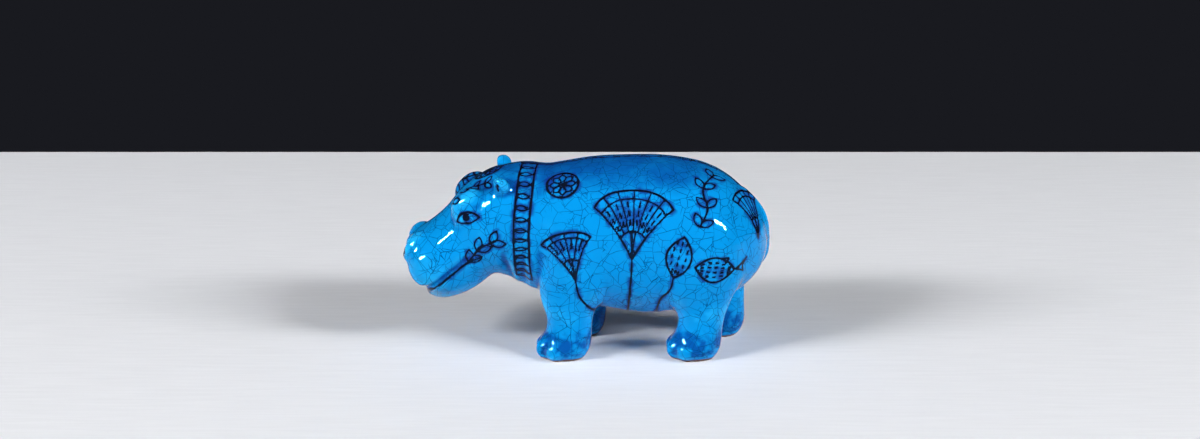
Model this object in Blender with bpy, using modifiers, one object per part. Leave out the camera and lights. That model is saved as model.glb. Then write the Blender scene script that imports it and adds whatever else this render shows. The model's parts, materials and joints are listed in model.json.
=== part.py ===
"""A standing hippopotamus of glazed ceramic, in one piece.

Frame: metres, +Z up. The origin is on the ground, at the middle of the figure's box.
The animal looks along -X, so its left side faces -Y. It stands on the flat soles of its four feet.
The shape is built up the way a potter would do it: big lumps are merged and sponged smooth,
then small lumps are laid on, grooves are pressed in, and the feet are rubbed flat.
Lengths in the code are in millimetres until they are multiplied by MM.
"""

import math

import bmesh
import bpy
import numpy as np
from mathutils import Matrix, Vector
from mathutils.bvhtree import BVHTree

MM = 0.001

# Driving dimensions
TOTAL_LENGTH = 200.0
NECK_X = -50.0  # where the trunk ends inside the head
RUMP_X = 98.0
RUMP_CAP = 46.0  # length over which the rump rounds off
BACK_HEIGHT = 107.5  # top of the back over the ground
BELLY_HEIGHT = 21.0
BODY_WIDTH = 75.0
HEAD_LENGTH = 76.0  # nape to nose, along the head's own axis
HEAD_PITCH = math.radians(34.0)  # how far the nose points below level
HEAD_ROOT = Vector((-34.0, 0.0, 84.0))  # where the head's axis starts, inside the neck
LEG_SPREAD = 21.0  # from the middle plane to a leg's axis
LEG_TOP = 56.0  # height where a leg ends inside the trunk
FRONT_LEG_X = -6.0
HIND_LEG_X = 68.5
FRONT_STRIDE = 8.0  # how far the right leg stands behind the left one
HIND_STRIDE = 15.0
HIP_X = 64.5  # the hips move much less than the hind feet
HIP_STRIDE = 4.0
FOOT_AHEAD = 3.6  # how far the middle of a foot lies ahead of its leg's axis
TOE_RADIUS = 5.6

# Fineness of the solid
RING_POINTS = 48
COARSE_GRAIN = 1.4  # cells in which the big lumps are merged
FINE_GRAIN = 1.1  # cells in which the small lumps are laid on
SPONGING = 26  # rounds of smoothing over the big lumps
TOUCHING_UP = 6  # rounds over the small ones
TRIANGLES = 9400

# Look
GLAZE_BLUE = (0.006, 0.26, 0.70, 1.0)
GLAZE_ROUGHNESS = 0.12


def through(stations, at):
    """Rows of values at the positions in at, on a smooth curve that never overshoots the stations."""
    table = np.array(stations, float)
    where, rows = table[:, 0], table[:, 1:]
    step = np.diff(where)[:, None]
    slope = np.diff(rows, axis=0) / step
    both = slope[:-1] + slope[1:]
    same_way = slope[:-1] * slope[1:] > 0
    inner = np.where(same_way, 2 * slope[:-1] * slope[1:] / np.where(both == 0, 1, both), 0)
    tangent = np.vstack([slope[:1], inner, slope[-1:]])
    at = np.clip(np.asarray(at, float), where[0], where[-1])
    i = np.clip(np.searchsorted(where, at, side="right") - 1, 0, len(where) - 2)
    h = step[i]
    t = (at - where[i])[:, None] / h
    return (
        (1 + 2 * t) * (1 - t) ** 2 * rows[i]
        + t * (1 - t) ** 2 * h * tangent[i]
        + t * t * (3 - 2 * t) * rows[i + 1]
        + t * t * (t - 1) * h * tangent[i + 1]
    )


def along(points):
    """Points about a millimetre apart, on a smooth curve through the few points given."""
    corners = [Vector(p) for p in points]
    run = [0.0]
    for here, there in zip(corners, corners[1:]):
        run.append(run[-1] + (there - here).length)
    stations = [(far, *p) for far, p in zip(run, corners)]
    return [Vector(row) for row in through(stations, np.linspace(0, run[-1], max(2, round(run[-1]))))]


def oval(power, half_wide, half_high):
    """A ring of (sideways, up) pairs. Power 2 is an ellipse, and more is squarer."""
    ring = []
    for k in range(RING_POINTS):
        turn = 2 * math.pi * k / RING_POINTS
        c, s = math.cos(turn), math.sin(turn)
        sideways = half_wide * math.copysign(abs(c) ** (2 / power), c)
        ring.append((sideways, half_high * math.copysign(abs(s) ** (2 / power), s)))
    return ring


def lofted(rings):
    """A closed skin through rings of points."""
    skin = bmesh.new()
    rows = [[skin.verts.new(Vector(p) * MM) for p in ring] for ring in rings]
    for row, following in zip(rows, rows[1:]):
        for k in range(RING_POINTS):
            after = (k + 1) % RING_POINTS
            skin.faces.new((row[k], row[after], following[after], following[k]))
    skin.faces.new(rows[0])
    skin.faces.new(rows[-1])
    bmesh.ops.recalc_face_normals(skin, faces=skin.faces)
    return skin


def ellipsoid(centre, radii, turned=Matrix.Identity(4)):
    """A round lump of clay."""
    lump = bmesh.new()
    size = Matrix.Diagonal((*(Vector(radii) * MM), 1.0))
    place = Matrix.Translation(Vector(centre) * MM) @ turned @ size
    bmesh.ops.create_uvsphere(lump, u_segments=32, v_segments=20, radius=1.0, matrix=place)
    return lump


def head_point(ahead, side, above):
    """A place on the head: how far along its axis, sideways, and over the axis."""
    forward = Vector((-math.cos(HEAD_PITCH), 0, -math.sin(HEAD_PITCH)))
    upward = Vector((-math.sin(HEAD_PITCH), 0, math.cos(HEAD_PITCH)))
    return HEAD_ROOT + forward * ahead + Vector((0, side, 0)) + upward * above


def head_turn(extra_pitch=0.0, lean=0.0):
    """The head's own turn, with a further nod and a sideways lean, in degrees."""
    nod = Matrix.Rotation(-HEAD_PITCH - math.radians(extra_pitch), 4, "Y")
    return nod @ Matrix.Rotation(math.radians(lean), 4, "X")


def trunk():
    """The barrel of the body, which narrows to the neck and rounds off at the rump."""
    wide = BODY_WIDTH / 2
    # X, belly height, back height, half width
    stations = (
        (NECK_X, BELLY_HEIGHT + 22, BACK_HEIGHT - 11, 0.64 * wide),
        (NECK_X + 14, BELLY_HEIGHT + 15, BACK_HEIGHT - 8, 0.76 * wide),
        (NECK_X + 34, BELLY_HEIGHT + 7, BACK_HEIGHT - 4, 0.90 * wide),
        (NECK_X + 60, BELLY_HEIGHT + 2, BACK_HEIGHT - 0.5, 0.985 * wide),
        (NECK_X + 84, BELLY_HEIGHT - 1, BACK_HEIGHT, wide),
        (NECK_X + 110, BELLY_HEIGHT + 3, BACK_HEIGHT - 3, 0.98 * wide),
        (RUMP_X, BELLY_HEIGHT + 7, BACK_HEIGHT - 10, 0.92 * wide),
    )
    turns = np.linspace(0, math.pi / 2, 16)
    cap_start = RUMP_X - RUMP_CAP
    barrel = np.linspace(NECK_X, cap_start, 40)[:-1]
    places = np.concatenate([barrel, cap_start + RUMP_CAP * np.sin(turns)])
    rings = []
    for x, (belly, back, half_wide) in zip(places, through(stations, places)):
        past = max(0.0, (x - cap_start) / RUMP_CAP)
        shrink = max(0.02, (1 - past**2.3) ** 0.5)
        middle = (back + belly) / 2 - 3.0 * past**2
        ring = oval(2.15, half_wide * shrink, (back - belly) / 2 * shrink)
        rings.append([(x, side, middle + up) for side, up in ring])
    return lofted(rings)


def skull():
    """The head, from inside the neck to the nose: deep at the cheeks, and blunt at the lips."""
    # Along the axis, over the axis, half width, half height
    stations = (
        (-24, -10.0, 16.0, 15.0),
        (-8, -6.0, 25.0, 24.0),
        (10, -2.5, 29.0, 27.0),
        (26, -1.5, 28.0, 25.5),
        (42, -2.0, 24.0, 21.5),
        (54, -1.5, 24.0, 20.0),
        (65, -1.0, 25.5, 19.5),
        (HEAD_LENGTH, -1.0, 25.5, 19.0),
    )
    nose_cap = 17.0
    turns = np.linspace(0, math.pi / 2, 10)
    cap_start = HEAD_LENGTH - nose_cap
    places = np.concatenate([np.linspace(-24, cap_start, 34)[:-1], cap_start + nose_cap * np.sin(turns)])
    rings = []
    for ahead, (above, half_wide, half_high) in zip(places, through(stations, places)):
        past = max(0.0, (ahead - cap_start) / nose_cap)
        shrink = max(0.03, (1 - past**2.4) ** 0.5)
        ring = oval(2.3, half_wide * shrink, half_high * shrink)
        rings.append([head_point(ahead, side, above + up) for side, up in ring])
    return lofted(rings)


def jowls():
    """The lower jaw, the cheeks, and the heavy upper lip on both sides."""
    lumps = [
        ellipsoid(head_point(52, 0, -14), (24, 20.5, 11.5), head_turn(-4)),
        ellipsoid(head_point(20, 0, -12), (24, 26, 17), head_turn()),
    ]
    for side in (-1, 1):
        lumps.append(ellipsoid(head_point(61, 12.5 * side, 0), (14.5, 13.5, 14.5), head_turn()))
    return lumps


def hip(side):
    """How far back a hip lies."""
    return HIP_X + HIP_STRIDE / 2 * side


def leg(x, side, hind):
    """One leg: a stout column that narrows to the ankle, and spreads into a foot that reaches ahead."""
    y = side * LEG_SPREAD
    lean = x - hip(side) if hind else 1.5
    # Height, how far ahead of the axis, half length, half width
    stations = (
        (-5.0, FOOT_AHEAD - 0.4, 6.0, 5.5),
        (0.0, FOOT_AHEAD, 11.4, 10.4),
        (3.5, FOOT_AHEAD + 0.2, 14.2, 12.8),
        (7.5, FOOT_AHEAD, 15.4, 13.9),
        (13.0, FOOT_AHEAD * 0.4, 13.2, 12.7),
        (20.0, 0.1 * lean, 12.4, 12.2),
        (32.0, 0.45 * lean, 15.5, 13.6),
        (LEG_TOP, lean, 20.0 if hind else 18.0, 13.0),
    )
    heights = np.linspace(-5.0, LEG_TOP, 34)
    rings = []
    for z, (ahead, half_long, half_wide) in zip(heights, through(stations, heights)):
        rings.append([(x - ahead + a, y + b, z) for a, b in oval(2.2, half_long, half_wide)])
    return lofted(rings)


def toe_way(x, side, swing):
    """The middle of a foot, and the way from there to a toe, or to the gap between two."""
    way = math.radians(swing)
    return Vector((x - FOOT_AHEAD, side * LEG_SPREAD, 0)), Vector((-math.cos(way), 0.94 * math.sin(way), 0))


def toes(x, side):
    """Four low toes round the front of a foot."""
    lumps = []
    for swing in (-66.0, -22.0, 22.0, 66.0):
        middle, out = toe_way(x, side, swing)
        place = middle + out * 10.7 + Vector((0, 0, 5.6))
        lumps.append(ellipsoid(place, (TOE_RADIUS, TOE_RADIUS, TOE_RADIUS * 1.04)))
    return lumps


def footing():
    """Where the four feet stand: X, side, and whether it is a hind foot."""
    places = []
    for side in (-1, 1):
        places.append((FRONT_LEG_X + FRONT_STRIDE / 2 * side, side, False))
        places.append((HIND_LEG_X + HIND_STRIDE / 2 * side, side, True))
    return places


def limbs():
    """Four legs in a short stride, with the swell of a shoulder or a haunch over each."""
    lumps = []
    for x, side, hind in footing():
        lumps.append(leg(x, side, hind))
        splay = Matrix.Rotation(math.radians(-7 if hind else 8) * side, 4, "Z")
        if hind:
            lumps.append(ellipsoid((hip(side) - 3, 24.6 * side, 57), (26, 15.0, 32), splay))
        else:
            lumps.append(ellipsoid((x + 2, 24.2 * side, 53), (21, 14.0, 29), splay))
    return lumps


def features():
    """The small lumps that are laid on the head: nostrils, brows, eyes and ears."""
    lumps = []
    for side in (-1, 1):
        ear_turn = head_turn(-20, -48 * side) @ Matrix.Rotation(math.radians(-45 * side), 4, "Z")
        lumps += [
            ellipsoid(head_point(64.0, 11.0 * side, 13.6), (9.5, 6.8, 5.6), head_turn(20)),
            ellipsoid(head_point(25.0, 17.0 * side, 18.6), (11.0, 7.6, 7.2), head_turn(10)),
            ellipsoid(head_point(29.0, 21.0 * side, 14.5), (7.4, 4.6, 5.0), head_turn(14)),
            ellipsoid(head_point(4.0, 22.0 * side, 16.5), (4.4, 4.2, 5.0), head_turn(-15, -50 * side)),
            ellipsoid(head_point(3.0, 24.8 * side, 18.8), (3.5, 5.0, 5.0), ear_turn),
        ]
    return lumps


def merged(lumps, grain, rounds):
    """One skin over all the lumps, softened as wet clay is with a sponge."""
    heap = bmesh.new()
    mesh = bpy.data.meshes.new("clay")
    for lump in lumps:
        lump.to_mesh(mesh)
        heap.from_mesh(mesh)
        lump.free()
    heap.to_mesh(mesh)
    heap.free()
    clay = bpy.data.objects.new("clay", mesh)
    bpy.context.scene.collection.objects.link(clay)
    merge = clay.modifiers.new("merge", "REMESH")
    merge.mode = "VOXEL"
    merge.voxel_size = grain * MM
    soften = clay.modifiers.new("soften", "SMOOTH")
    soften.factor = 0.5
    soften.iterations = rounds
    skin = taken(clay)
    bpy.data.meshes.remove(mesh)
    return skin


def taken(thing):
    """The finished surface of an object, which is removed."""
    mesh = bpy.data.meshes.new_from_object(thing.evaluated_get(bpy.context.evaluated_depsgraph_get()))
    bpy.data.objects.remove(thing)
    skin = bmesh.new()
    skin.from_mesh(mesh)
    bpy.data.meshes.remove(mesh)
    return skin


def tail(skin):
    """A short tail down the rump, as a row of overlapping lumps, with a small brush at its end."""
    ground = BVHTree.FromBMesh(skin)
    path = along(((88, 0, 91), (94, 1, 82), (99, 2, 70), (98, 4, 57), (94, 6, 46)))[::2]
    lumps = []
    for k, point in enumerate(path):
        down = k / (len(path) - 1)
        spot, out, _, _ = ground.find_nearest(point * MM)
        brush = math.exp(-(((down - 0.88) / 0.12) ** 2))
        size = 3.6 - 1.3 * min(1.0, 1.4 * down) + 1.0 * brush
        sunk = 2.2 - 2.2 * min(1.0, 2.8 * down) + 0.3 * brush
        lumps.append(ellipsoid(spot / MM - out * sunk, (size, size, size)))
    return lumps


def pressed(skin, path, half_width, depth, fade=0.0):
    """Presses a soft groove into the skin, along a path that is first laid on it.

    Fade is the share of the path at each end over which the groove runs out.
    """
    ground = BVHTree.FromBMesh(skin)
    laid = np.array([ground.find_nearest(point * MM)[0] for point in along(path)]) / MM
    end = np.minimum(np.linspace(0, 1, len(laid)), np.linspace(1, 0, len(laid)))
    strength = np.clip(end / fade, 0, 1) ** 0.7 if fade else np.ones(len(laid))
    verts = list(skin.verts)
    where = np.array([v.co for v in verts]) / MM
    low, high = laid.min(axis=0) - half_width, laid.max(axis=0) + half_width
    near = np.flatnonzero(np.all((where > low) & (where < high), axis=1))
    gap = np.linalg.norm(where[near][:, None, :] - laid[None, :, :], axis=2)
    closest = gap.argmin(axis=1)
    gap = gap.min(axis=1)
    profile = np.where(gap < half_width, 0.5 + 0.5 * np.cos(np.pi * gap / half_width), 0.0)
    push = profile * depth * strength[closest]
    for k, by in zip(near, push):
        if by:
            verts[k].co -= verts[k].normal * (by * MM)
    skin.normal_update()


def mirrored(path):
    """The same path on the other side of the body."""
    return [Vector((point.x, -point.y, point.z)) for point in path]


def head_grooves(skin):
    """The mouth, the nostrils, the ears' hollows and the edges of the brows."""
    cheek = ((35, 29.5, -9), (42, 28.5, -6.5), (51, 26, -7), (62, 27, -9))
    mouth = [head_point(*p) for p in (*cheek, (72, 22, -10), (80, 10, -10), (81, 0, -10))]
    pressed(skin, mouth + mirrored(mouth)[-2::-1], 2.7, 2.1, fade=0.08)
    nostril = [head_point(*p) for p in ((67, 9.5, 20), (73, 12.5, 17))]
    hollow = [head_point(*p) for p in ((5.8, 26.6, 17.4), (5.4, 28.4, 20.0))]
    lid = [head_point(*p) for p in ((19, 27, 15), (25, 29, 18.5), (32, 28, 18), (37, 26, 13))]
    pairs = ((nostril, 3.5, 2.4, 0), (hollow, 3.1, 2.0, 0), (lid, 2.2, 0.9, 0.2))
    for path, half_width, depth, fade in pairs:
        pressed(skin, path, half_width, depth, fade)
        pressed(skin, mirrored(path), half_width, depth, fade)


def neck_folds(skin):
    """Three soft folds that hang down the neck, and the hollow before the shoulder."""
    # How far along, how high it starts, half width, depth
    for at, top, half_width, depth in ((-47, 60, 4.2, 1.8), (-38.5, 68, 5.0, 2.2), (-29.5, 62, 5.4, 1.7)):
        fold = [
            Vector((at + 5.0, 33, top)),
            Vector((at + 1.0, 32, 56)),
            Vector((at + 1.0, 25, 45)),
            Vector((at + 2.5, 15, 39)),
            Vector((at + 3.0, 4, 37)),
        ]
        pressed(skin, fold, half_width, depth, fade=0.35)
        pressed(skin, mirrored(fold), half_width, depth, fade=0.35)
    for side in (-1, 1):
        ahead = FRONT_LEG_X + FRONT_STRIDE / 2 * side - 19
        hollow = ((ahead + 5, 38 * side, 78), (ahead, 36 * side, 62), (ahead + 2, 32 * side, 44))
        pressed(skin, [Vector(p) for p in hollow], 10.0, 1.8, fade=0.4)


def toe_gaps(skin):
    """The gaps between the toes."""
    for x, side, _ in footing():
        for swing in (-44.0, 0.0, 44.0):
            middle, out = toe_way(x, side, swing)
            gap = [middle + out * 19 + Vector((0, 0, 1)), middle + out * 13 + Vector((0, 0, 10))]
            pressed(skin, gap, 1.8, 0.9)


def finished(skin, name):
    """The object itself: thinned, its soles cut flat at the ground, and centred on the origin."""
    mesh = bpy.data.meshes.new(name)
    skin.to_mesh(mesh)
    rough = bpy.data.objects.new("rough", mesh)
    bpy.context.scene.collection.objects.link(rough)
    thin = rough.modifiers.new("thin", "DECIMATE")
    thin.ratio = TRIANGLES / sum(len(face.verts) - 2 for face in skin.faces)
    skin.free()
    shape = taken(rough)
    everything = shape.verts[:] + shape.edges[:] + shape.faces[:]
    bmesh.ops.bisect_plane(shape, geom=everything, plane_co=(0, 0, 0), plane_no=(0, 0, 1), clear_inner=True)
    bmesh.ops.remove_doubles(shape, verts=[vert for vert in shape.verts if vert.is_boundary], dist=0.0001)
    bmesh.ops.holes_fill(shape, edges=[edge for edge in shape.edges if edge.is_boundary], sides=0)

    where = np.array([v.co for v in shape.verts])
    low, high = where.min(axis=0), where.max(axis=0)
    scale = TOTAL_LENGTH * MM / (high[0] - low[0])
    middle = Vector(((low[0] + high[0]) / 2, (low[1] + high[1]) / 2, 0))
    bmesh.ops.translate(shape, verts=shape.verts, vec=-middle)
    bmesh.ops.scale(shape, verts=shape.verts, vec=(scale, scale, scale))
    bmesh.ops.triangulate(shape, faces=shape.faces)
    bmesh.ops.recalc_face_normals(shape, faces=shape.faces)
    shape.to_mesh(mesh)
    shape.free()
    mesh.shade_smooth()
    mesh.set_sharp_from_angle(angle=math.radians(50))
    return bpy.data.objects.new(name, mesh)


def glaze():
    """The glossy blue that the whole figure is dipped in."""
    material = bpy.data.materials.new("turquoise glaze")
    material.use_nodes = True
    surface = material.node_tree.nodes["Principled BSDF"]
    surface.inputs["Base Color"].default_value = GLAZE_BLUE
    surface.inputs["Roughness"].default_value = GLAZE_ROUGHNESS
    surface.inputs["Metallic"].default_value = 0.0
    return material


def main():
    for old in list(bpy.data.objects):
        bpy.data.objects.remove(old)

    masses = merged([trunk(), skull(), *jowls(), *limbs()], COARSE_GRAIN, SPONGING)
    laid_on = tail(masses) + features()
    for x, side, _ in footing():
        laid_on += toes(x, side)
    skin = merged([masses, *laid_on], FINE_GRAIN, TOUCHING_UP)
    head_grooves(skin)
    neck_folds(skin)
    toe_gaps(skin)
    figure = finished(skin, "hippopotamus")
    figure.data.materials.append(glaze())

    collection = bpy.data.collections.new("hippopotamus figure")
    bpy.context.scene.collection.children.link(collection)
    collection.objects.link(figure)


main()
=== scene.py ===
# %% [markdown]
# # A glazed ceramic hippopotamus, painted with marsh plants
#
# The real object is one hollow piece of slip-cast clay. A painter draws on the fired clay with a brush and
# a black stain, the whole figure is dipped in a blue glaze, and a second firing turns the glaze to glass.
# The glass shrinks more than the clay when it cools, so it crackles. This script follows the same order:
# the clay, the drawing, the glaze, and at last the table and the lights.

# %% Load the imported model
import json
import math

import bmesh
import bpy
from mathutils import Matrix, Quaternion, Vector

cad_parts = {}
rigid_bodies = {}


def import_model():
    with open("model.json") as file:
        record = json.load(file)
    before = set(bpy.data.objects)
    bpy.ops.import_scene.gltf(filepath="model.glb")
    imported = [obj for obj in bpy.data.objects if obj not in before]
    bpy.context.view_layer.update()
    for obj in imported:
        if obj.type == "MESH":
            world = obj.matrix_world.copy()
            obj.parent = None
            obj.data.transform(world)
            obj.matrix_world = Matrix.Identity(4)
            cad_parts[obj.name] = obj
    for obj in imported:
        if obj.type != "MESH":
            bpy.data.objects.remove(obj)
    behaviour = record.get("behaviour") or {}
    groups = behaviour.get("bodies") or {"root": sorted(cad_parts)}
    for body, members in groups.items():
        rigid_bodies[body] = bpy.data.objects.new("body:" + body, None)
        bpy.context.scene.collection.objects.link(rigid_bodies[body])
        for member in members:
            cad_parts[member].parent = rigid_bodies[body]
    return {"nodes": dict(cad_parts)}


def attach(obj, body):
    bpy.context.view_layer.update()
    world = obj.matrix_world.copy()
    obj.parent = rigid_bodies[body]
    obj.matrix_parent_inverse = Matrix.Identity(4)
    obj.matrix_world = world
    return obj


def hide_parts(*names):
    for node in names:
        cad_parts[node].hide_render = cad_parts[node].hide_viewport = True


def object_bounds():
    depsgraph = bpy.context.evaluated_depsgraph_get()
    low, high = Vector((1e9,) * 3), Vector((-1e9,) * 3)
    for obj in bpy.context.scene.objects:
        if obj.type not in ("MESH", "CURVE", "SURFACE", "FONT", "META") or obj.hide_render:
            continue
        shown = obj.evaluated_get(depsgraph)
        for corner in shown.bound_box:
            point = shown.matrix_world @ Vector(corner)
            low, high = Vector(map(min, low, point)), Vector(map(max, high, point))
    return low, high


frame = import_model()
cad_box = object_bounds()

MM = 0.001
scene = bpy.context.scene
cad_low, cad_high = cad_box
print("the figure is", [round(side / MM, 1) for side in cad_high - cad_low], "mm long, wide and high")


# %% [markdown]
# ## Helpers for node trees
#
# Both the brush drawing and the glaze are made of nodes. A few small helpers keep the trees readable: one
# makes a tree with named sockets, another adds a node, sets its properties, and gives its inputs values or
# links, and the rest are short forms for sums.


# %% Helpers for trees
FLOAT, VECTOR, INT = "NodeSocketFloat", "NodeSocketVector", "NodeSocketInt"


def new_tree(kind, name, inputs, outputs):
    """A node tree with named inputs and outputs. Also gives the sockets of its two end nodes."""
    tree = bpy.data.node_groups.new(name, kind)
    for label, socket, value in inputs:
        made = tree.interface.new_socket(label, in_out="INPUT", socket_type=socket)
        if value is not None:
            made.default_value = value
    for label, socket in outputs:
        tree.interface.new_socket(label, in_out="OUTPUT", socket_type=socket)
    return tree, tree.nodes.new("NodeGroupInput").outputs, tree.nodes.new("NodeGroupOutput").inputs


def add(tree, kind, given=None, **settings):
    """One node. Given is a dict from an input's name or number to a value or to another node's output."""
    node = tree.nodes.new(kind)
    for name, value in settings.items():
        setattr(node, name, value)
    wire(tree, node, given or {})
    return node


def wire(tree, node, given):
    """Gives a node's inputs their values or links."""
    for key, value in given.items():
        if isinstance(value, bpy.types.NodeSocket):
            tree.links.new(value, node.inputs[key])
        else:
            node.inputs[key].default_value = value


def number(tree, operation, *values):
    """The result of a math node."""
    return add(tree, "ShaderNodeMath", dict(enumerate(values)), operation=operation).outputs[0]


def times(tree, first, second):
    """Two numbers multiplied."""
    return number(tree, "MULTIPLY", first, second)


def minus(tree, first, second):
    """The first number less the second."""
    return number(tree, "SUBTRACT", first, second)


def summed(tree, start, *parts):
    """A start value and some parts added up, each times its weight."""
    total = start
    for value, weight in parts:
        total = number(tree, "MULTIPLY_ADD", value, weight, total)
    return total


def vector(tree, operation, *values):
    """The result of a vector math node. A length, a distance or a dot product is its second output."""
    node = add(tree, "ShaderNodeVectorMath", dict(enumerate(values)), operation=operation)
    return node.outputs[1 if operation in ("LENGTH", "DISTANCE", "DOT_PRODUCT") else 0]


def together(tree, x=0.0, y=0.0, z=0.0):
    """Three numbers as one vector."""
    return add(tree, "ShaderNodeCombineXYZ", {"X": x, "Y": y, "Z": z}).outputs[0]


def stretched(tree, value, low, high, to_low=0.0, to_high=1.0):
    """A smooth step: to_low where the value is at low, to_high where it is at high."""
    given = {"Value": value, "From Min": low, "From Max": high, "To Min": to_low, "To Max": to_high}
    return add(tree, "ShaderNodeMapRange", given, interpolation_type="SMOOTHSTEP").outputs[0]


def noise(tree, place, size, detail=2.0, output="Fac"):
    """Noise with blobs of about a size."""
    given = {"Vector": place, "Scale": 1 / size, "Detail": detail}
    return add(tree, "ShaderNodeTexNoise", given).outputs[output]


# %% Helpers for objects
def placed(name, data, collection=None):
    """A new object at the origin."""
    thing = bpy.data.objects.new(name, data)
    (collection or scene.collection).objects.link(thing)
    return thing


def dressed_with(thing, tree, **values):
    """Puts a Geometry Nodes tree on an object. A value's keyword is the input's name, with _ for a space."""
    modifier = thing.modifiers.new(tree.name, "NODES")
    modifier.node_group = tree
    for item in tree.interface.items_tree:
        key = item.name.replace(" ", "_")
        if item.item_type == "SOCKET" and item.in_out == "INPUT" and key in values:
            modifier[item.identifier] = values[key]


def taken(thing):
    """The evaluated object as a plain mesh. The object itself is removed."""
    bpy.context.view_layer.update()
    mesh = bpy.data.meshes.new_from_object(thing.evaluated_get(bpy.context.evaluated_depsgraph_get()))
    bpy.data.objects.remove(thing)
    return mesh


# %% [markdown]
# ## The clay
#
# The real body is cast in a plaster mould and sponged smooth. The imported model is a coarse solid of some
# nine thousand triangles. A brush line is barely more than a millimetre wide, and the glaze reflects every
# flat facet, so the skin is made again in cells of under a millimetre and smoothed. A voxel remesh suits
# this better than subdivision, because the coarse triangles don't run along the forms.

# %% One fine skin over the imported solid
SKIN_CELL = 0.90 * MM
SKIN_ROUNDS = 8
SAME_POINT = 0.01 * MM
SOLE_FLAT = 0.25 * MM  # what lies lower than this is rubbed flat on the table


def fine_skin(node):
    """A fine and smooth copy of a node's surface, with its soles flat on the ground."""
    loose = bmesh.new()
    loose.from_mesh(node.data)
    bmesh.ops.remove_doubles(loose, verts=loose.verts, dist=SAME_POINT)
    mesh = bpy.data.meshes.new("clay")
    loose.to_mesh(mesh)
    loose.free()
    clay = placed("clay", mesh)
    remesh = clay.modifiers.new("fine cells", "REMESH")
    remesh.mode = "VOXEL"
    remesh.voxel_size = SKIN_CELL
    smooth = clay.modifiers.new("smooth", "SMOOTH")
    smooth.factor = 0.5
    smooth.iterations = SKIN_ROUNDS
    fine = taken(clay)
    for vertex in fine.vertices:
        if vertex.co.z < SOLE_FLAT:
            vertex.co.z = 0
    return fine


skin = placed("skin", fine_skin(frame["nodes"]["hippopotamus"]))
print("the skin has", len(skin.data.polygons), "faces")

# %% [markdown]
# ## The brush drawing
#
# The plants are drawn flat, in millimetres, like a sheet of paper cut out for each side of the figure.
# Geometry Nodes make what repeats: the rays and dashes of a papyrus head, the petals of a rosette, the
# leaves on a stem. Each is a tree of its own that puts out plain lines. Later trees wrap the sheets round
# the body.

# %% A leaf, the shape that most of the drawing is made of
GEOMETRY = [("Geometry", "NodeSocketGeometry")]
QUARTER_TURN = math.pi / 2


def joined(tree, *geometries):
    """All the geometries as one."""
    node = tree.nodes.new("GeometryNodeJoinGeometry")
    for geometry in geometries:
        tree.links.new(geometry, node.inputs[0])
    return node.outputs[0]


def make_leaf_outline():
    """Two arcs from the origin to a tip up along +Y. The middle handle of each stands Width aside."""
    sizes = [("Length", FLOAT, 0.010), ("Width", FLOAT, 0.004)]
    tree, given, result = new_tree("GeometryNodeTree", "leaf outline", sizes, GEOMETRY)
    tip = together(tree, y=given["Length"])
    halfway = times(tree, given["Length"], 0.5)
    edges = []
    for side in (1, -1):
        bulge = together(tree, times(tree, given["Width"], side), halfway)
        points = {"Resolution": 12, "Start": (0, 0, 0), "Middle": bulge, "End": tip}
        edges.append(add(tree, "GeometryNodeCurveQuadraticBezier", points).outputs[0])
    tree.links.new(joined(tree, *edges), result[0])
    return tree


LEAF_OUTLINE = make_leaf_outline()


# %% Short forms for drawing inside a tree
DASH_WEIGHT = 0.85  # how hard the brush is pressed, where 1 is its usual width
PETAL_WEIGHT = 0.7
BLADE_WEIGHT = 0.75
EDGE_WEIGHT = 1.05
RING_WEIGHT = 1.1


def leaf(tree, length, width):
    """A leaf outline inside another tree."""
    given = {"Length": length, "Width": width}
    return add(tree, "GeometryNodeGroup", given, node_tree=LEAF_OUTLINE).outputs[0]


def line(tree, start, end):
    """A straight line."""
    return add(tree, "GeometryNodeCurvePrimitiveLine", {"Start": start, "End": end}).outputs[0]


def smoothed(tree, lines):
    """Lines that run smoothly through their points."""
    return add(tree, "GeometryNodeCurveSplineType", {"Curve": lines}, spline_type="CATMULL_ROM").outputs[0]


def pressed(tree, lines, weight):
    """Lines drawn with more or less weight on the brush, which their radius holds."""
    return add(tree, "GeometryNodeSetCurveRadius", {"Curve": lines, "Radius": weight}).outputs[0]


def index(tree):
    """The number of the point that is being worked out."""
    return add(tree, "GeometryNodeInputIndex").outputs[0]


def on_points(tree, points, shape, turn):
    """A shape set on every point, each turned about Z by its own angle."""
    rotation = add(tree, "FunctionNodeEulerToRotation", {0: together(tree, z=turn)}).outputs[0]
    given = {"Points": points, "Instance": shape, "Rotation": rotation}
    many = add(tree, "GeometryNodeInstanceOnPoints", given).outputs[0]
    return add(tree, "GeometryNodeRealizeInstances", {0: many}).outputs[0]


def copies(tree, count, shape, turn, place=(0.0, 0.0, 0.0)):
    """A number of copies of a shape. Turn and place are worked out from each copy's index."""
    points = add(tree, "GeometryNodePoints", {"Count": count, "Position": place}).outputs[0]
    return on_points(tree, points, shape, turn)


def polar(tree, distance, angle):
    """A place at a distance from the origin, and at an angle from +Y towards +X."""
    x = times(tree, distance, number(tree, "SINE", angle))
    y = times(tree, distance, number(tree, "COSINE", angle))
    return together(tree, x, y)


# %% [markdown]
# ### Papyrus heads
#
# A papyrus head is an open fan of thin rays. The old way to draw it is a bell: rays between two edges, a
# rim across the top, rows of short dashes between the rays, and three pointed leaves that hold the fan
# below.


# %% The papyrus tree
CUP = 0.42  # the pointed leaves reach this share of the way up the head
SEPAL_SPREAD = 0.17  # the angle between the leaves, as a share of the fan's
TOP_DASH, DASH_STEP = 0.77, 0.125  # where the top row of dashes begins, and the step down to the next
PAPYRUS_RIMS = ((1.0, 1.1), (0.88, 0.7), (CUP, 0.8))  # each rim's share of the way up, and its weight
RAY_WEIGHT = 0.62


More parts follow.
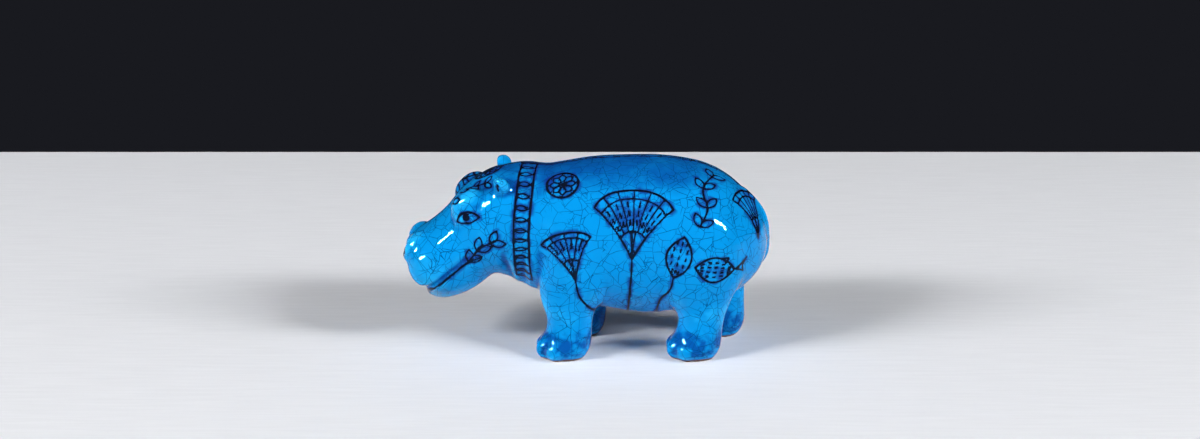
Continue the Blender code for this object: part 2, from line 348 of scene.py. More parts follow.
def make_papyrus_head():
    sizes = [
        ("Rays", INT, 9),
        ("Spread", FLOAT, 1.4),
        ("Length", FLOAT, 0.034),
        ("Dash Rows", INT, 3),
        ("Dash Length", FLOAT, 0.0026),
        ("Flare", FLOAT, 0.45),
    ]
    tree, given, result = new_tree("GeometryNodeTree", "papyrus head", sizes, GEOMETRY)
    which = index(tree)
    gaps = minus(tree, given["Rays"], 1)
    step = number(tree, "DIVIDE", given["Spread"], gaps)
    half = times(tree, given["Spread"], 0.5)

    cup = times(tree, given["Length"], CUP)
    ray = line(tree, together(tree, y=cup), together(tree, y=given["Length"]))
    ray_turn = minus(tree, half, times(tree, which, step))
    rays = copies(tree, given["Rays"], pressed(tree, ray, RAY_WEIGHT), ray_turn)

    row = number(tree, "FLOOR", number(tree, "DIVIDE", which, gaps))
    column = number(tree, "ADD", number(tree, "MODULO", which, gaps), 0.5)
    angle = minus(tree, times(tree, column, step), half)
    share = minus(tree, TOP_DASH, times(tree, row, DASH_STEP))
    place = polar(tree, times(tree, given["Length"], share), angle)
    dash = pressed(tree, line(tree, (0, 0, 0), together(tree, y=given["Dash Length"])), DASH_WEIGHT)
    dash_count = times(tree, given["Dash Rows"], gaps)
    dashes = copies(tree, dash_count, dash, times(tree, angle, -1), place)

    rims = []
    for reach, weight in PAPYRUS_RIMS:
        arc = {
            "Resolution": 32,
            "Radius": times(tree, given["Length"], reach),
            "Start Angle": minus(tree, QUARTER_TURN, half),
            "Sweep Angle": given["Spread"],
        }
        rims.append(pressed(tree, add(tree, "GeometryNodeCurveArc", arc).outputs[0], weight))

    flank = line(tree, (0, 0, 0), together(tree, y=given["Length"]))
    flank_turn = minus(tree, half, times(tree, which, given["Spread"]))
    flanks = copies(tree, 2, pressed(tree, flank, EDGE_WEIGHT), flank_turn)
    sepal = pressed(tree, line(tree, (0, 0, 0), together(tree, y=cup)), PETAL_WEIGHT)
    sepal_step = times(tree, given["Spread"], SEPAL_SPREAD)
    sepal_turn = times(tree, minus(tree, which, 0.5), sepal_step)
    sepals = copies(tree, 2, sepal, sepal_turn)

    fan = joined(tree, rays, dashes, *rims, flanks, sepals)
    fan = add(tree, "GeometryNodeResampleCurve", {"Curve": fan, "Count": 16}).outputs[0]
    here = add(tree, "GeometryNodeInputPosition").outputs[0]
    up = add(tree, "ShaderNodeSeparateXYZ", {0: here}).outputs["Y"]
    rise = number(tree, "DIVIDE", up, given["Length"])
    short = minus(tree, 1, times(tree, rise, rise))
    squeeze = minus(tree, 1, times(tree, given["Flare"], short))
    bell = vector(tree, "MULTIPLY", here, together(tree, squeeze, 1.0, 1.0))
    bell = add(tree, "GeometryNodeSetPosition", {"Geometry": fan, "Position": bell}).outputs[0]
    tree.links.new(bell, result[0])
    return tree


PAPYRUS_HEAD = make_papyrus_head()

# %% [markdown]
# ### Rosettes
#
# A rosette is one petal repeated round a dot, inside a ring. Points at equal steps round a circle, each
# turned by its own step, are enough for it.


# %% The rosette tree
def make_rosette():
    sizes = [
        ("Petals", INT, 8),
        ("Core", FLOAT, 0.0016),
        ("Petal Length", FLOAT, 0.007),
        ("Petal Width", FLOAT, 0.005),
        ("Ring", FLOAT, 0.0105),
    ]
    tree, given, result = new_tree("GeometryNodeTree", "rosette", sizes, GEOMETRY)
    turn = times(tree, index(tree), number(tree, "DIVIDE", 2 * math.pi, given["Petals"]))
    petal = pressed(tree, leaf(tree, given["Petal Length"], given["Petal Width"]), PETAL_WEIGHT)
    outwards = polar(tree, given["Core"], times(tree, turn, -1))
    petals = copies(tree, given["Petals"], petal, turn, outwards)
    rings = []
    for radius in (times(tree, given["Core"], 0.4), given["Ring"]):
        circle = add(tree, "GeometryNodeCurvePrimitiveCircle", {"Resolution": 48, "Radius": radius})
        rings.append(pressed(tree, circle.outputs[0], RING_WEIGHT))
    tree.links.new(joined(tree, petals, *rings), result[0])
    return tree


ROSETTE = make_rosette()

# %% [markdown]
# ### Leaves on a stem
#
# Pondweed is a wavy stem with a leaf on either side of each knot, and a painted collar is a line with
# petals on one side. Both are leaves along the object's own curve, so one tree makes both: it sets a leaf
# at each knot, turned out from the way the stem runs, and a switch adds the second leaf.


# %% The tree of leaves on a stem
def make_leafy_stem():
    sizes = [
        ("Geometry", "NodeSocketGeometry", None),
        ("Knots", INT, 5),
        ("Leaf Length", FLOAT, 0.010),
        ("Leaf Width", FLOAT, 0.0045),
        ("Lean", FLOAT, 0.8),
        ("Both Sides", "NodeSocketBool", True),
    ]
    tree, given, result = new_tree("GeometryNodeTree", "leafy stem", sizes, GEOMETRY)
    stem = smoothed(tree, given["Geometry"])
    knots = {"Curve": stem, "Count": given["Knots"]}
    knots = add(tree, "GeometryNodeCurveToPoints", knots, mode="COUNT").outputs
    way = add(tree, "ShaderNodeSeparateXYZ", {0: knots["Tangent"]}).outputs
    heading = minus(tree, number(tree, "ARCTAN2", way["Y"], way["X"]), QUARTER_TURN)
    blade = pressed(tree, leaf(tree, given["Leaf Length"], given["Leaf Width"]), BLADE_WEIGHT)
    rows = []
    for side in (1, -1):
        turn = number(tree, "ADD", heading, times(tree, given["Lean"], side))
        rows.append(on_points(tree, knots["Points"], blade, turn))
    second = {"Switch": given["Both Sides"], "True": rows[1]}
    second = add(tree, "GeometryNodeSwitch", second, input_type="GEOMETRY").outputs[0]
    tree.links.new(joined(tree, stem, rows[0], second), result[0])
    return tree


LEAFY_STEM = make_leafy_stem()

# %% [markdown]
# ### Scales and seeds
#
# Buds and fish are both a leaf shape filled with rows of short dashes. The dashes keep inside because each
# row is only as wide as the leaf is there.


# %% The tree of dashes inside a leaf
FIRST_ROW = 0.75  # how far from the leaf's base the first row stands, in rows
SPARE_ROWS = 0.9  # the length of leaf that no row takes, in rows
ROW_WIDTH = 2.3  # of a row, where the leaf's own half width is 2


def make_seeded_leaf():
    sizes = [
        ("Length", FLOAT, 0.020),
        ("Width", FLOAT, 0.009),
        ("Rows", INT, 5),
        ("Columns", INT, 3),
        ("Dash Length", FLOAT, 0.0022),
    ]
    tree, given, result = new_tree("GeometryNodeTree", "seeded leaf", sizes, GEOMETRY)
    which = index(tree)
    row = number(tree, "FLOOR", number(tree, "DIVIDE", which, given["Columns"]))
    column = number(tree, "MODULO", which, given["Columns"])
    leaf_rows = number(tree, "ADD", given["Rows"], SPARE_ROWS)
    along = number(tree, "DIVIDE", number(tree, "ADD", row, FIRST_ROW), leaf_rows)
    belly = times(tree, along, minus(tree, 1, along))
    width_here = times(tree, belly, given["Width"])
    last_column = minus(tree, given["Columns"], 1)
    across = minus(tree, number(tree, "DIVIDE", column, last_column), 0.5)
    x = times(tree, times(tree, width_here, across), ROW_WIDTH)
    place = together(tree, x, times(tree, along, given["Length"]))
    dash = pressed(tree, line(tree, (0, 0, 0), together(tree, y=given["Dash Length"])), DASH_WEIGHT)
    dashes = copies(tree, times(tree, given["Rows"], given["Columns"]), dash, 0.0, place)
    outline = pressed(tree, leaf(tree, given["Length"], given["Width"]), 1.0)
    tree.links.new(joined(tree, outline, dashes), result[0])
    return tree


SEEDED_LEAF = make_seeded_leaf()
print("drawing trees:", ", ".join(tree.name for tree in bpy.data.node_groups))

# %% [markdown]
# ### Onto the skin
#
# A sheet is held beside the body and wrapped round a centre line. This tree takes a flat drawing, lets the
# hand wobble a little, rolls it round that line, and shoots a ray from each point of each line to the skin.
# What misses is dropped. Each point that lands keeps how far the brush reaches round it. Lines of the face
# are given in space instead, because a roll would tear at the nose, and they settle on the nearest skin.

# %% Short forms for points on the skin
LINE_STEP = 0.35 * MM
RAY_LENGTH = 90 * MM  # a ray starts this far from the centre line, outside the figure
MOST_NOISE = (0.3, 0.7)  # most of a noise lies between these
NOISE_MIDDLE = (0.5, 0.5, 0.5)


def keeping(tree, geometry, name, value, data_type="FLOAT"):
    """The geometry, with a value kept on each point under a name."""
    given = {"Geometry": geometry, "Name": name, "Value": value}
    node = add(tree, "GeometryNodeStoreNamedAttribute", given, data_type=data_type, domain="POINT")
    return node.outputs[0]


def recalled(tree, name, data_type="FLOAT"):
    """What each point keeps under a name."""
    return add(tree, "GeometryNodeInputNamedAttribute", {"Name": name}, data_type=data_type).outputs[0]


def brush_dots(tree, lines):
    """Points close together along smooth lines, each with the brush weight of its line as an attribute."""
    weight = add(tree, "GeometryNodeInputRadius").outputs[0]
    weighed = keeping(tree, smoothed(tree, lines), "weight", weight)
    dots = {"Curve": weighed, "Length": LINE_STEP}
    return add(tree, "GeometryNodeCurveToPoints", dots, mode="LENGTH").outputs["Points"]


def landed(tree, dots, places, missed, brush):
    """The dots that haven't missed, moved to their places, as vertices that keep the brush's reach."""
    dots = keeping(tree, dots, "spot", places, "FLOAT_VECTOR")
    if missed:
        dots = add(tree, "GeometryNodeDeleteGeometry", {"Geometry": dots, "Selection": missed}).outputs[0]
    spot = recalled(tree, "spot", "FLOAT_VECTOR")
    dots = add(tree, "GeometryNodeSetPosition", {"Geometry": dots, "Position": spot}).outputs[0]
    uneven = stretched(tree, noise(tree, spot, 4 * MM), *MOST_NOISE, 0.8, 1.22)
    width = times(tree, times(tree, recalled(tree, "weight"), brush), uneven)
    dots = keeping(tree, dots, "reach", width)
    vertices = add(tree, "GeometryNodePointsToVertices", {"Points": dots}).outputs[0]
    return add(tree, "GeometryNodeRealizeInstances", {0: vertices}).outputs[0]


# %% The tree that lays a sheet on the skin
def make_lay_on_skin():
    sizes = [
        ("Geometry", "NodeSocketGeometry", None),
        ("Skin", "NodeSocketObject", None),
        ("Slide", VECTOR, None),
        ("Spin", FLOAT, 0.0),
        ("Centre", VECTOR, None),
        ("Turn", VECTOR, None),
        ("Wrap", FLOAT, 1.0),
        ("Girth", FLOAT, 0.040),
        ("Side", VECTOR, (1.0, 1.0, 1.0)),
        ("Brush", FLOAT, 0.0007),
        ("Wobble", FLOAT, 0.0008),
    ]
    tree, given, result = new_tree("GeometryNodeTree", "lay on the skin", sizes, GEOMETRY)
    dots = brush_dots(tree, given["Geometry"])
    here = add(tree, "GeometryNodeInputPosition").outputs[0]
    spin = {"Vector": here, "Axis": (0.0, 0.0, 1.0), "Angle": given["Spin"]}
    spun = add(tree, "ShaderNodeVectorRotate", spin, rotation_type="AXIS_ANGLE").outputs[0]
    drawn = vector(tree, "ADD", spun, given["Slide"])
    tremor = vector(tree, "SUBTRACT", noise(tree, drawn, 11 * MM, 1.0, "Color"), NOISE_MIDDLE)
    tremor = vector(tree, "MULTIPLY", tremor, together(tree, given["Wobble"], given["Wobble"]))
    flat = add(tree, "ShaderNodeSeparateXYZ", {0: vector(tree, "ADD", drawn, tremor)}).outputs

    angle = number(tree, "DIVIDE", flat["Y"], given["Girth"])
    sine, cosine = number(tree, "SINE", angle), number(tree, "COSINE", angle)
    rolled_y, rolled_z = (times(tree, part, RAY_LENGTH) for part in (sine, cosine))
    rolled = together(tree, flat["X"], rolled_y, rolled_z)
    unrolled = together(tree, flat["X"], flat["Y"], RAY_LENGTH)
    start = {0: given["Wrap"], 4: unrolled, 5: rolled}
    start = add(tree, "ShaderNodeMix", start, data_type="VECTOR").outputs[1]
    outward = together(tree, 0.0, sine, cosine)
    aim = {0: given["Wrap"], 4: (0.0, 0.0, 1.0), 5: outward}
    aim = add(tree, "ShaderNodeMix", aim, data_type="VECTOR").outputs[1]

    def held(value):
        """A vector of the sheet, turned the way the sheet is held and mirrored to its side of the figure."""
        turn = {"Vector": value, "Rotation": given["Turn"]}
        turned = add(tree, "ShaderNodeVectorRotate", turn, rotation_type="EULER_XYZ").outputs[0]
        return vector(tree, "MULTIPLY", turned, given["Side"])

    centre = vector(tree, "MULTIPLY", given["Centre"], given["Side"])
    ray = {
        "Target Geometry": add(tree, "GeometryNodeObjectInfo", {"Object": given["Skin"]}).outputs["Geometry"],
        "Source Position": vector(tree, "ADD", held(start), centre),
        "Ray Direction": vector(tree, "MULTIPLY", held(aim), (-1.0, -1.0, -1.0)),
        "Ray Length": RAY_LENGTH,
    }
    hit = add(tree, "GeometryNodeRaycast", ray).outputs
    missed = add(tree, "FunctionNodeBooleanMath", {0: hit["Is Hit"]}, operation="NOT").outputs[0]
    tree.links.new(landed(tree, dots, hit["Hit Position"], missed, given["Brush"]), result[0])
    return tree


LAY_ON_SKIN = make_lay_on_skin()


# %% The tree that settles lines of the face on the skin
def make_settle_on_skin():
    sizes = [
        ("Geometry", "NodeSocketGeometry", None),
        ("Skin", "NodeSocketObject", None),
        ("Side", VECTOR, (1.0, 1.0, 1.0)),
        ("Brush", FLOAT, 0.0007),
    ]
    tree, given, result = new_tree("GeometryNodeTree", "settle on the skin", sizes, GEOMETRY)
    dots = brush_dots(tree, given["Geometry"])
    here = add(tree, "GeometryNodeInputPosition").outputs[0]
    body = add(tree, "GeometryNodeObjectInfo", {"Object": given["Skin"]}).outputs["Geometry"]
    nearest = {"Geometry": body, "Sample Position": vector(tree, "MULTIPLY", here, given["Side"])}
    nearest = add(tree, "GeometryNodeProximity", nearest, target_element="FACES").outputs["Position"]
    tree.links.new(landed(tree, dots, nearest, None, given["Brush"]), result[0])
    return tree


SETTLE_ON_SKIN = make_settle_on_skin()

# %% [markdown]
# ## The layout of the drawing
#
# Each side of the trunk has one sheet, whose x runs along the body in millimetres and whose y runs up round
# it from half height. The head has a sheet that follows its own slope, and the rump has a flat one. The two
# flanks are not mirror pictures: a painter draws each by hand, so the right side has its plants in another
# order.

# %% Sheets, brush and paper
BRUSH = 0.57 * MM  # half of a line's width
STROKE_END, STROKE_MIDDLE = 0.75, 1.05  # the weight of the brush along a stroke
drawing = bpy.data.collections.new("drawing")
scene.collection.children.link(drawing)

HEAD_PITCH = math.radians(34)
RUMP_TURN = (math.radians(70), 0, math.radians(58))


def sheet(x, z, turn, girth=0.0):
    """How a sheet is held: its centre's x and z, its turn, and the radius of its roll, or 0 if it is flat."""
    return {"Centre": (x * MM, 0, z * MM), "Turn": turn, "Wrap": float(girth > 0), "Girth": girth * MM}


TRUNK_GIRTH = 40.0
TRUNK = sheet(0, 64, (QUARTER_TURN, 0, 0), TRUNK_GIRTH)
HEAD = sheet(-33.3, 82.8, (QUARTER_TURN, -HEAD_PITCH, 0), 26.0)
CROWN = sheet(-46, 80, (HEAD_PITCH, 0, -QUARTER_TURN))
RUMP = sheet(70, 66, RUMP_TURN)


def paper(name, strokes):
    """A curve object with one spline for each stroke. The brush comes down lightly and lifts at the end."""
    curve = bpy.data.curves.new(name, "CURVE")
    curve.dimensions = "3D"
    for stroke in strokes:
        spline = curve.splines.new("POLY")
        spline.points.add(len(stroke) - 1)
        for count, (point, place) in enumerate(zip(spline.points, stroke)):
            x, y, z = (*place, 0)[:3]
            point.co = (x * MM, y * MM, z * MM, 1)
            point.radius = STROKE_END if count in (0, len(stroke) - 1) else STROKE_MIDDLE
    return placed(name, curve, drawing)


def paint(name, held_as, side=1, at=(0, 0), spin=0, strokes=(), pattern=None, brush=BRUSH, **sizes):
    """One motif on a sheet. Places are in millimetres on the sheet, and spin is in degrees to the left."""
    thing = paper(name, strokes)
    if pattern:
        dressed_with(thing, pattern, **sizes)
    slide = (at[0] * MM, at[1] * MM, 0)
    held = {"Skin": skin, "Slide": slide, "Spin": math.radians(spin), "Side": (1, side, 1), "Brush": brush}
    dressed_with(thing, LAY_ON_SKIN, **held, **held_as)


def trace(name, strokes, side=1, brush=BRUSH):
    """Lines through places on or near the skin, in millimetres from the origin."""
    dressed_with(paper(name, strokes), SETTLE_ON_SKIN, Skin=skin, Side=(1, side, 1), Brush=brush)


# %% The plants on the flanks
def papyrus(name, side, foot, top, spin, length, spread, rays, rows=3):
    """A papyrus: a stem that sways up from its foot, and a head on it."""
    (x0, y0), (x1, y1) = foot, top
    sway = math.radians(spin)
    neck = (x1 + 9 * math.sin(sway), y1 - 9 * math.cos(sway))
    stem = [foot, (x0 + (x1 - x0) * 0.25, y0 + (y1 - y0) * 0.4), neck, top]
    paint(f"{name} stem", TRUNK, side, strokes=[stem])
    sizes = {"Rays": rays, "Spread": math.radians(spread), "Length": length * MM}
    dashes = {"Dash_Rows": rows, "Dash_Length": 2.4 * MM}
    paint(f"{name} head", TRUNK, side, top, spin, pattern=PAPYRUS_HEAD, **dashes, **sizes)


def bud(name, side, foot, top, spin, length=21):
    """A closed bud on its own stem."""
    (x0, y0), (x1, y1) = foot, top
    stem = [foot, (x0 + (x1 - x0) * 0.2, y0 + (y1 - y0) * 0.5), (x1 + (x0 - x1) * 0.2, y1 - 8), top]
    paint(f"{name} stem", TRUNK, side, strokes=[stem])
    sizes = {"Length": length * MM, "Width": length * 0.56 * MM}
    seeds = {"Rows": 5, "Columns": 3, "Dash_Length": 1.4 * MM}
    paint(f"{name} head", TRUNK, side, top, spin, pattern=SEEDED_LEAF, **sizes, **seeds)


def pondweed(name, held_as, side, stem, knots, length, lean=42):
    """A spray of pondweed along a stem."""
    leaves = {"Knots": knots, "Lean": math.radians(lean), "Both_Sides": True}
    sizes = {"Leaf_Length": length * MM, "Leaf_Width": length * 0.5 * MM}
    paint(name, held_as, side, strokes=[stem], pattern=LEAFY_STEM, **leaves, **sizes)


def fish(name, side, at, spin, length=24):
    """A fish: a leaf full of scales, with a tail and a fin."""
    sizes = {"Length": length * MM, "Width": length * 0.62 * MM}
    scales = {"Rows": 5, "Columns": 4, "Dash_Length": 1.2 * MM}
    paint(f"{name} body", TRUNK, side, at, spin, pattern=SEEDED_LEAF, **sizes, **scales)
    strokes = [
        [(-4.5, -6), (-1.5, -3), (0, 0)],
        [(4.5, -6), (1.5, -3), (0, 0)],
        [(-4.5, -6), (0, -4.6), (4.5, -6)],
        [(length * 0.19, length * 0.28), (length * 0.32, length * 0.24), (length * 0.29, length * 0.46)],
    ]
    paint(f"{name} fins", TRUNK, side, at, spin, strokes=strokes)


def rosette(name, held_as, side, at, ring, petals=8):
    """A rosette with its petals in proportion to its ring."""
    sizes = {"Petals": petals, "Core": 0.2 * ring * MM, "Ring": ring * MM}
    petal = {"Petal_Length": 0.62 * ring * MM, "Petal_Width": 0.44 * ring * MM}
    paint(name, held_as, side, at, pattern=ROSETTE, **sizes, **petal)


def collar(name, side, stroke, knots, petal=7):
    """A painted collar: petals between two lines."""
    leaves = {"Knots": knots, "Lean": -QUARTER_TURN, "Both_Sides": False}
    sizes = {"Leaf_Length": petal * MM, "Leaf_Width": petal * 0.42 * MM}
    paint(name, TRUNK, side, strokes=[stroke], pattern=LEAFY_STEM, **leaves, **sizes)
    paint(f"{name} edge", TRUNK, side, at=(petal + 1.2, 0), strokes=[stroke])


def paint_left_flank():
    papyrus("left papyrus", 1, (22, -53), (24, -5), -2, 39, 84, 7)
    bud("left bud", 1, (37, -52), (46, -15), -14, 24)
    papyrus("left small papyrus", 1, (7, -50), (-6, -16), 14, 27, 74, 5, 2)
    rosette("left rosette", TRUNK, 1, (-13, 40), 8.5)
    fish("left fish", 1, (79, -13), 78, 22)
    pondweed("left pondweed", TRUNK, 1, [(60, 14), (64, 24), (62, 36), (67, 48)], 4, 8)


def paint_right_flank():
    papyrus("right papyrus", -1, (14, -53), (2, -8), 8, 34, 80, 7)
    papyrus("right small papyrus", -1, (30, -52), (46, 2), -12, 26, 74, 5, 2)
    bud("right bud", -1, (26, -50), (27, -22), 4)
    rosette("right rosette", TRUNK, -1, (66, -8), 10)
    pondweed("right pondweed", TRUNK, -1, [(-22, 29), (-16, 38), (-7, 43), (3, 45)], 4, 7)
    fish("right fish", -1, (21, 46), -80, 20)
    rosette("right small rosette", TRUNK, -1, (57, 42), 7, 6)


def paint_spine():
    top = TRUNK_GIRTH * QUARTER_TURN
    paint("spine", TRUNK, 1, strokes=[[(-26, top), (20, top), (60, top), (88, top)]])


def paint_rump():
    for side, lean in ((1, -6), (-1, 10)):
        sizes = {"Rays": 6, "Spread": math.radians(62), "Length": 27 * MM, "Dash_Rows": 0}
        paint("reed fan", RUMP, side, (-3, -10), lean, pattern=PAPYRUS_HEAD, **sizes)


def paint_head():
    for side in (1, -1):
        garland = [(-31, 24), (-21, 28), (-11, 26)]
        pondweed("brow garland", HEAD, side, garland, 4, 6, 50)
        pondweed("cheek sprig", HEAD, side, [(-41, -8), (-33, -4), (-25, -4)], 3, 8, 30)
        collar("collar", side, [(-38, -32), (-39, -10), (-39, 16), (-37, 40), (-35, 63)], 14)
    rosette("crown rosette", CROWN, 1, (0, 4), 7.5)


def on_head(ahead, aside, above):
    """A place on the left of the head, in millimetres ahead of its root, aside, and above its axis."""
    x0, _, z0 = HEAD["Centre"]
    cosine, sine = math.cos(HEAD_PITCH), math.sin(HEAD_PITCH)
    return (x0 / MM - ahead * cosine - above * sine, -aside, z0 / MM - ahead * sine + above * cosine)


EYE_TILT = math.radians(22)
EYE_AHEAD, EYE_ASIDE, EYE_ABOVE = 28.6, 25.6, 14.3


def beside_eye(along, up):
    """A place beside the eye, along its slit and up from it."""
    cosine, sine = math.cos(EYE_TILT), math.sin(EYE_TILT)
    ahead = EYE_AHEAD - along * cosine - up * sine
    return on_head(ahead, EYE_ASIDE, EYE_ABOVE - along * sine + up * cosine)


def paint_face():
    mouth = [(35, 29, -9), (41.5, 28, -6.5), (50.5, 25.6, -7), (61, 26.6, -9), (71, 21.7, -10), (79, 10, -10)]
    lips = [on_head(*place) for place in mouth + [(80, 0, -10)]]
    ear = [on_head(6.4, 27.0, 17.0), on_head(6.0, 27.8, 18.4), on_head(5.6, 28.6, 19.8)]
    nostril = [on_head(66, 9, 20.4), on_head(70, 11, 18.7), on_head(73.5, 12.7, 16.6)]
    corners = (-6.8, -1.4), (8.0, -1.0)
    upper = [beside_eye(*place) for place in (corners[0], (-3, 2.4), (1, 3.5), (4.5, 2.3), corners[1])]
    lower = [beside_eye(*place) for place in (corners[0], (-2.5, -3.0), (2, -3.0), corners[1])]
    turns = [math.tau * step / 8 for step in range(9)]
    pupil = [
        [beside_eye(0.5 + radius * math.cos(turn), 0.3 + radius * math.sin(turn)) for turn in turns]
        for radius in (0.4, 0.95, 1.5)
    ]
    for side in (1, -1):
        trace("upper lid", [upper], side, 1.15 * BRUSH)
        trace("lower lid", [lower], side, 0.8 * BRUSH)
        trace("pupil", pupil, side)
        trace("ear", [ear], side, 1.2 * BRUSH)
        trace("nostril", [nostril], side, 1.5 * BRUSH)
        trace("mouth", [lips], side, 0.95 * BRUSH)


paint_left_flank()
paint_right_flank()
paint_spine()
paint_rump()
paint_head()
paint_face()

# %% [markdown]
# ### Soaking in
#
# The drawing is now a cloud of points on the skin. Each point of the skin looks up the nearest one of the
# drawing, and keeps the way to it and the brush's reach there. The material works out from these how far
# inside or outside a line any spot lies. So a line stays smooth, although the cells of the skin are as wide
# as the line. The same tree compares the skin with a blurred copy of itself: where the copy lies outside,
# the skin is hollow and glaze pools, and where it lies inside, the glaze runs thin.


# %% The tree that soaks the drawing into the skin
def sampled(tree, geometry, value, data_type, nearest):
    """What the nearest point of the drawing holds."""
    given = {"Geometry": geometry, "Value": value, "Index": nearest}
    return add(tree, "GeometryNodeSampleIndex", given, data_type=data_type, domain="POINT").outputs[0]


IN_MM = (1 / MM, 1 / MM, 1 / MM)


def make_soak():
    sizes = [
        ("Geometry", "NodeSocketGeometry", None),
        ("Drawing", "NodeSocketCollection", None),
        ("Finish", "NodeSocketMaterial", None),
        ("Blur Rounds", INT, 30),
    ]
    tree, given, result = new_tree("GeometryNodeTree", "soak into the glaze", sizes, GEOMETRY)
    here = add(tree, "GeometryNodeInputPosition").outputs[0]
    dots = add(tree, "GeometryNodeCollectionInfo", {"Collection": given["Drawing"]}).outputs[0]
    dots = add(tree, "GeometryNodeRealizeInstances", {0: dots}).outputs[0]
    nearest = add(tree, "GeometryNodeSampleNearest", {"Geometry": dots}, domain="POINT").outputs[0]
    spot = sampled(tree, dots, here, "FLOAT_VECTOR", nearest)
    reach = sampled(tree, dots, recalled(tree, "reach"), "FLOAT", nearest)
    to_line = vector(tree, "SUBTRACT", spot, here)

    blur = {"Value": here, "Iterations": given["Blur Rounds"]}
    blurred = add(tree, "GeometryNodeBlurAttribute", blur, data_type="FLOAT_VECTOR").outputs[0]
    outward = add(tree, "GeometryNodeInputNormal").outputs[0]
    pool = vector(tree, "DOT_PRODUCT", vector(tree, "SUBTRACT", blurred, here), outward)

    body = given["Geometry"]
    for name, value in (("away", vector(tree, "LENGTH", to_line)), ("reach", reach), ("pool", pool)):
        body = keeping(tree, body, name, number(tree, "DIVIDE", value, MM))
    body = keeping(tree, body, "to line", vector(tree, "MULTIPLY", to_line, IN_MM), "FLOAT_VECTOR")
    body = add(tree, "GeometryNodeSetShadeSmooth", {"Geometry": body}).outputs[0]
    body = add(tree, "GeometryNodeRealizeInstances", {0: body}).outputs[0]
    body = add(tree, "GeometryNodeSetMaterial", {"Geometry": body, "Material": given["Finish"]}).outputs[0]
    tree.links.new(body, result[0])
    return tree


SOAK = make_soak()

# %% [markdown]
# ## The glaze
#
# The glaze is coloured glass over white clay. It is pale where it is thin, on ridges and down the legs. It
# is deep where it pools: in the folds, and on the toes, where the last drops stop. The top of the back is
# also made deeper in colour, which is painted shade: the lamps stand low and hardly light it. The black
# lines lie under the glaze, so they are as glossy as the rest and blur a little into it. The crackle is a
# net of cracks that later ones meet at right angles, because a new crack stops at an old one. Under the
# feet the glaze was wiped off, and the brown body shows.


# %% Short forms for shader trees
def mixed(tree, share, first, second):
    """Two colours mixed. Share 0 is the first colour."""
    return add(tree, "ShaderNodeMix", {0: share, 6: first, 7: second}, data_type="RGBA").outputs[2]


def on_skin(tree, name, output="Fac"):
    """What the skin keeps under a name."""
    return add(tree, "ShaderNodeAttribute", attribute_name=name).outputs[output]


# %% The brush ink group
NEAR_LINE = (0.62, 0.85)  # nearer than this, in mm, the way to the line is exact, and farther its length is
INK_EDGE = (0.14, -0.16)  # mm outside and inside the brush's reach
PATCHES = (0.36, 0.66)  # the blur comes in patches, where a noise lies above these


def make_brush_ink():
    inputs = [
        ("Vector", VECTOR, None),
        ("To Line", VECTOR, None),
        ("Away", FLOAT, 9.0),
        ("Reach", FLOAT, 0.7),
        ("Ragged", FLOAT, 0.22),
        ("Blur", FLOAT, 1.5),
    ]
    outputs = [("Line", FLOAT), ("Blurred", FLOAT)]
    tree, given, result = new_tree("ShaderNodeTree", "brush ink", inputs, outputs)
    exact = vector(tree, "LENGTH", given["To Line"])
    between = stretched(tree, given["Away"], *NEAR_LINE)
    rest = times(tree, minus(tree, given["Away"], exact), between)
    ink = minus(tree, number(tree, "ADD", exact, rest), given["Reach"])
    grain = minus(tree, noise(tree, given["Vector"], 0.9 * MM), 0.5)
    edge = number(tree, "ADD", ink, times(tree, grain, given["Ragged"]))
    tree.links.new(stretched(tree, edge, *INK_EDGE), result["Line"])
    patches = stretched(tree, noise(tree, given["Vector"], 6 * MM), *PATCHES)
    far = number(tree, "ADD", times(tree, patches, given["Blur"]), 0.35)
    tree.links.new(stretched(tree, ink, far, -0.4), result["Blurred"])
    return tree


BRUSH_INK = make_brush_ink()


# %% The crackle group
CRACK_NETS = ((3.0, 60, 0.30), (1.0, 40, 0.0), (0.52, 18, 0.36), (0.30, 12, 0.56))  # cell, patch, rarity
WANDER = (2.0, 2.0, 2.0)  # how far a crack strays, in mm
NET_SHIFT = (97.0, 89.0, 83.0)  # each cell has a next net of its own, so later cracks end at its edge
STEEPEST = 1.06  # just over 1, so that no wall of a cell is quite flat to the skin


